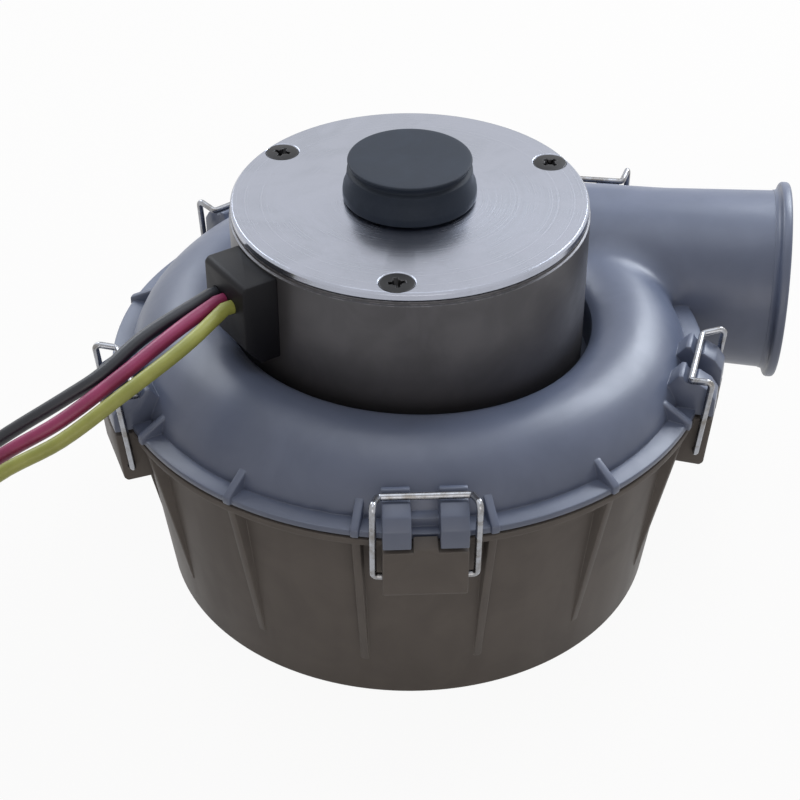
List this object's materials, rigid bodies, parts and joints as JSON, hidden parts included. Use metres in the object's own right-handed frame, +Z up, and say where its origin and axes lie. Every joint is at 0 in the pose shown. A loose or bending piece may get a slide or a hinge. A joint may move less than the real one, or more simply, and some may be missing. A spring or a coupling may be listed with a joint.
{
  "type": "DC blower fan",
  "caption": "Two-stage brushless DC blower: ribbed cup casing held to a scroll casing by wire bail clips, side outlet tube, motor on top with leads.",
  "frame": {"origin": "centre of the intake opening in the flat base, on the blower axis", "axes": "+Z up along the blower axis, from the base to the motor; +X along the outlet tube, towards its mouth"},
  "size_m": [0.2519, 0.1939, 0.1101],
  "materials": {
    "casing_plastic": "satin moulded grey plastic",
    "inner_plastic": "plain moulded dark plastic",
    "seal_rubber": "matt",
    "cap_rubber": "matt",
    "block_plastic": "matt black",
    "aluminium": "machined",
    "can_metal": "satin grey",
    "steel": "ground",
    "core_steel": "laminated",
    "black_steel": "blackened",
    "spring_wire": "bright drawn wire",
    "magnet": "coated",
    "brass": "machined",
    "copper": "enamelled wire",
    "board": "solder mask",
    "black_lead": "wire insulation",
    "red_lead": "wire insulation",
    "yellow_lead": "wire insulation",
    "tinned_wire": "tinned copper"
  },
  "bodies": {
    "housing": {"lower_casing": "casing_plastic", "mounting_inserts": "brass", "rim_seal": "seal_rubber", "stage_plate": "inner_plastic", "volute_floor": "inner_plastic", "upper_casing": "casing_plastic", "lower_bearing": "steel", "upper_bearing": "steel", "wave_washer": "steel", "stator_core": "core_steel", "stator_windings": "copper", "control_board": "board", "board_standoffs": "inner_plastic", "motor_base": "aluminium", "motor_screws": "steel", "motor_can": "can_metal", "top_plate": "aluminium", "plate_screws": "black_steel", "rubber_cap": "cap_rubber", "lead_block": "block_plastic", "lead_black": "black_lead", "lead_red": "red_lead", "lead_yellow": "yellow_lead", "black_lead_end": "tinned_wire", "red_lead_end": "tinned_wire", "yellow_lead_end": "tinned_wire"},
    "rotor": {"rotor_shaft": "steel", "rotor_core": "core_steel", "rotor_magnets": "magnet", "retaining_ring": "black_steel", "first_impeller": "inner_plastic", "second_impeller": "inner_plastic", "impeller_spacer": "aluminium", "impeller_washer": "steel", "impeller_nut": "steel"},
    "bail_front": {"bail_front": "spring_wire"},
    "bail_right": {"bail_right": "spring_wire"},
    "bail_outlet": {"bail_outlet": "spring_wire"},
    "bail_rear": {"bail_rear": "spring_wire"},
    "bail_left": {"bail_left": "spring_wire"}
  },
  "joints": [
    {"name": "rotor_spin", "type": "hinge", "parent": "housing", "child": "rotor", "pos_m": [0, 0, 0.06], "axis": [0, 0, 1], "continuous": true},
    {"name": "bail_front_swing", "type": "hinge", "parent": "housing", "child": "bail_front", "pos_m": [0.01268, -0.07189, 0.0475], "axis": [0.9848, 0.1736, 0], "range_deg": [0, 150]},
    {"name": "bail_right_swing", "type": "hinge", "parent": "housing", "child": "bail_right", "pos_m": [0.07229, -0.01016, 0.0475], "axis": [0.1392, 0.9903, 0], "range_deg": [0, 150]},
    {"name": "bail_rear_swing", "type": "hinge", "parent": "housing", "child": "bail_rear", "pos_m": [-0.05251, 0.05071, 0.0475], "axis": [-0.6947, -0.7193, 0], "range_deg": [0, 150]},
    {"name": "bail_left_swing", "type": "hinge", "parent": "housing", "child": "bail_left", "pos_m": [-0.06445, -0.03427, 0.0475], "axis": [0.4695, -0.8829, 0], "range_deg": [0, 150]},
    {"name": "bail_outlet_swing", "type": "hinge", "parent": "housing", "child": "bail_outlet", "pos_m": [0.0392, 0.0742, 0.0475], "axis": [-1, 0, 0], "range_deg": [0, 150]}
  ]
}
